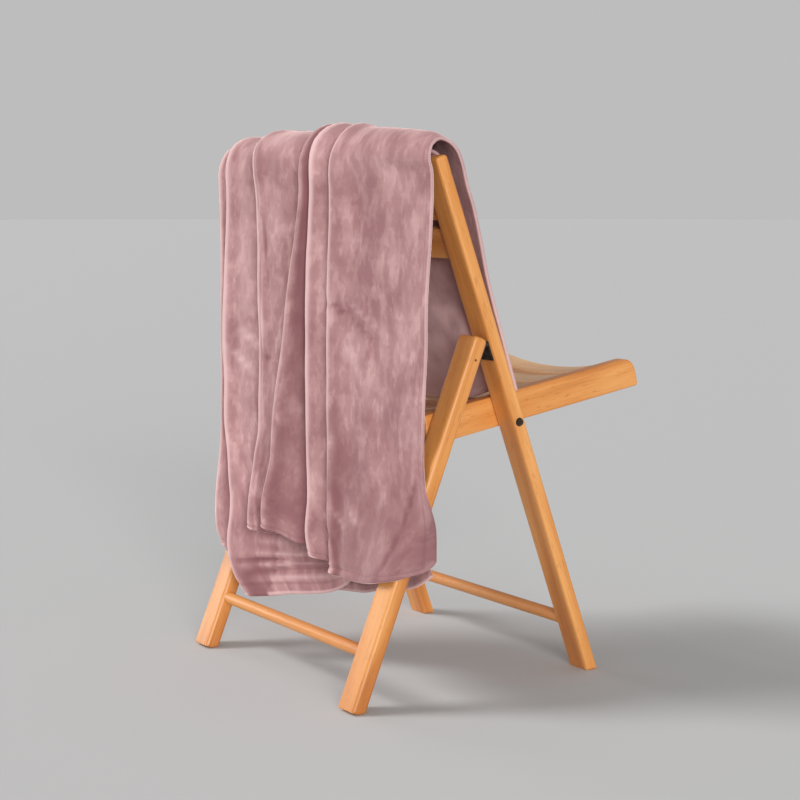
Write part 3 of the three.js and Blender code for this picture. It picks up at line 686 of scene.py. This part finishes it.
def plushMaterial(length):
    # a short pile brushed this way and that, its hems and their stitches, with painted
    # highlights on fold rims and hem edges and painted shade in hollows; length is the cloth's
    # from hem to hem
    paint = Paint("plush", Roughness=0.95, Sheen_Weight=plush["sheen"], Sheen_Roughness=0.35,
                  Sheen_Tint=plush["sheenColour"], Specular_IOR_Level=0.1)
    cloth = paint.node("ShaderNodeUVMap", {"uv_map": "cloth"})
    across, down = paint.part(cloth, 0), paint.part(cloth, 1)
    patches = paint.noise(cloth, *plush["patches"])
    leaning = paint.noise(paint.turned(cloth, (0, 0, 0.8), (1, 0.5, 1)), *plush["leaning"])
    falling = paint.noise(paint.turned(cloth, (0, 0, -0.9), (1, 0.5, 1)), *plush["falling"])
    rows = paint.noise(paint.turned(cloth, scale=plush["rows"]), 1.0, 2.0, 0.5)
    nap = paint.noise(cloth, *plush["nap"])
    brushed = leaning.above(0.50, 0.58) * 0.06 + falling.above(0.50, 0.57) * 0.05
    mottle = patches * 0.55 + leaning * 0.20 + falling * 0.16 + rows * 0.06 + brushed - 0.04
    stops = [(0.35, plush["dark"]), (0.5, plush["middle"]), (0.65, plush["light"])]
    body = paint.ramp(mottle, stops)

    edge = down.orLess(length - down).orLess(across)
    groove = 1 - (edge - throw["hem"]).size().above(*plush["groove"])
    threads = ((across + down) * plush["threads"]).sine() * 0.35 + 0.65
    seam = groove * threads
    body = paint.mix(seam * 0.45, body, plush["stitch"])

    # painted highlight on fold rims and along the hem edges, painted shade in hollows
    shadingAttribute = paint.node("ShaderNodeAttribute", {"attribute_name": "tone"}, output=2)
    paintedHighlight = 1 - edge.above(*plush["hemHighlight"])
    highlightShare = (shadingAttribute + paintedHighlight * 0.8).above(0.0, plush["foldRange"])
    shadeShare = (0 - shadingAttribute).above(0.0, plush["foldRange"])
    body = paint.mix(highlightShare * plush["foldShare"], body, plush["paintedHighlight"])
    body = paint.mix(shadeShare * plush["foldShare"], body, plush["paintedShade"])
    height = mottle * 0.8 + nap * 0.16 - seam * 0.5
    return paint.feed(Base_Color=body, Normal=paint.bump(height, plush["depth"], 0.35))


def addThrow():
    rims = [bend - 2 for bend in throw["leftFolds"]]
    middle, columns = smoothed(middleGrid("throw"), rims + [0, 1])
    middle, rows = smoothed(middle.transpose(1, 0, 2), [0, 28, 29])
    middle = shortened(middle.transpose(1, 0, 2), columns, rows)
    middle, tone = relieved(moved(middle, columns, rows), columns, rows)
    piece, spots, across, down = clothPiece("plush_throw", middle, tone)
    addBody(piece, spots, across, down)
    piece.data.materials.append(plushMaterial(float(down[-1])))
    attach(piece, "root")
    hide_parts("throw")
    print("throw done:", middle.shape[:2], "points,", round(across[-1], 3), "m across,",
          round(down[-1], 3), "m down")


addThrow()


studio = {
    "backdrop": colour(189, 189, 189),
    "floor": colour(197, 197, 197),
    "floorRadius": 60.0,
    "ambient": 0.70,
    # where each light shines to, its strength and how wide it is in degrees
    "key": ((0.50, 0.65, -0.75), 1.75, 22),
    "side": ((-0.88, 0.38, -0.2), 2.35, 25),
    "edge": ((0.95, 0.25, -0.1), 0.9, 25),
    "eye": (2.2122, -1.5105, 0.7120),
    "target": (0.0145, -0.03755, 0.40319),
    "lens": 77.44,
}


def addCamera():
    data = bpy.data.cameras.new("camera")
    camera = bpy.data.objects.new("camera", data)
    scene.collection.objects.link(camera)
    data.lens = studio["lens"]
    data.sensor_width = 36
    data.clip_end = 200
    camera.location = studio["eye"]
    towards = Vector(studio["target"]) - Vector(studio["eye"])
    camera.rotation_euler = towards.to_track_quat("-Z", "Y").to_euler()
    scene.camera = camera


def addSun(name):
    direction, strength, spreadAngle = studio[name]
    data = bpy.data.lights.new(name, "SUN")
    data.energy = strength
    data.angle = math.radians(spreadAngle)
    lamp = bpy.data.objects.new(name, data)
    lamp.rotation_euler = Vector(direction).to_track_quat("-Z", "Y").to_euler()
    scene.collection.objects.link(lamp)


def addFloor():
    shape = bmesh.new()
    radius = studio["floorRadius"]
    bmesh.ops.create_circle(shape, cap_ends=True, segments=96, radius=radius)
    data = bpy.data.meshes.new("floor")
    shape.to_mesh(data)
    shape.free()
    floor = bpy.data.objects.new("floor", data)
    scene.collection.objects.link(floor)
    paint = Paint("floor_paint", Roughness=0.9, Base_Color=studio["floor"])
    data.materials.append(paint.material)


def addWorld():
    # the backdrop's grey behind everything, and a dimmer light from all round
    world = bpy.data.worlds.new("studio")
    world.use_nodes = True
    tree = world.node_tree
    dimmed = tree.nodes["Background"]
    dimmed.inputs["Color"].default_value = studio["backdrop"]
    dimmed.inputs["Strength"].default_value = studio["ambient"]
    seen = tree.nodes.new("ShaderNodeBackground")
    seen.inputs["Color"].default_value = studio["backdrop"]
    rays = tree.nodes.new("ShaderNodeLightPath")
    both = tree.nodes.new("ShaderNodeMixShader")
    tree.links.new(rays.outputs["Is Camera Ray"], both.inputs[0])
    tree.links.new(dimmed.outputs[0], both.inputs[1])
    tree.links.new(seen.outputs[0], both.inputs[2])
    tree.links.new(both.outputs[0], tree.nodes["World Output"].inputs["Surface"])
    scene.world = world


addCamera()
addFloor()
addWorld()
for name in ("key", "side", "edge"):
    addSun(name)
print("studio done")
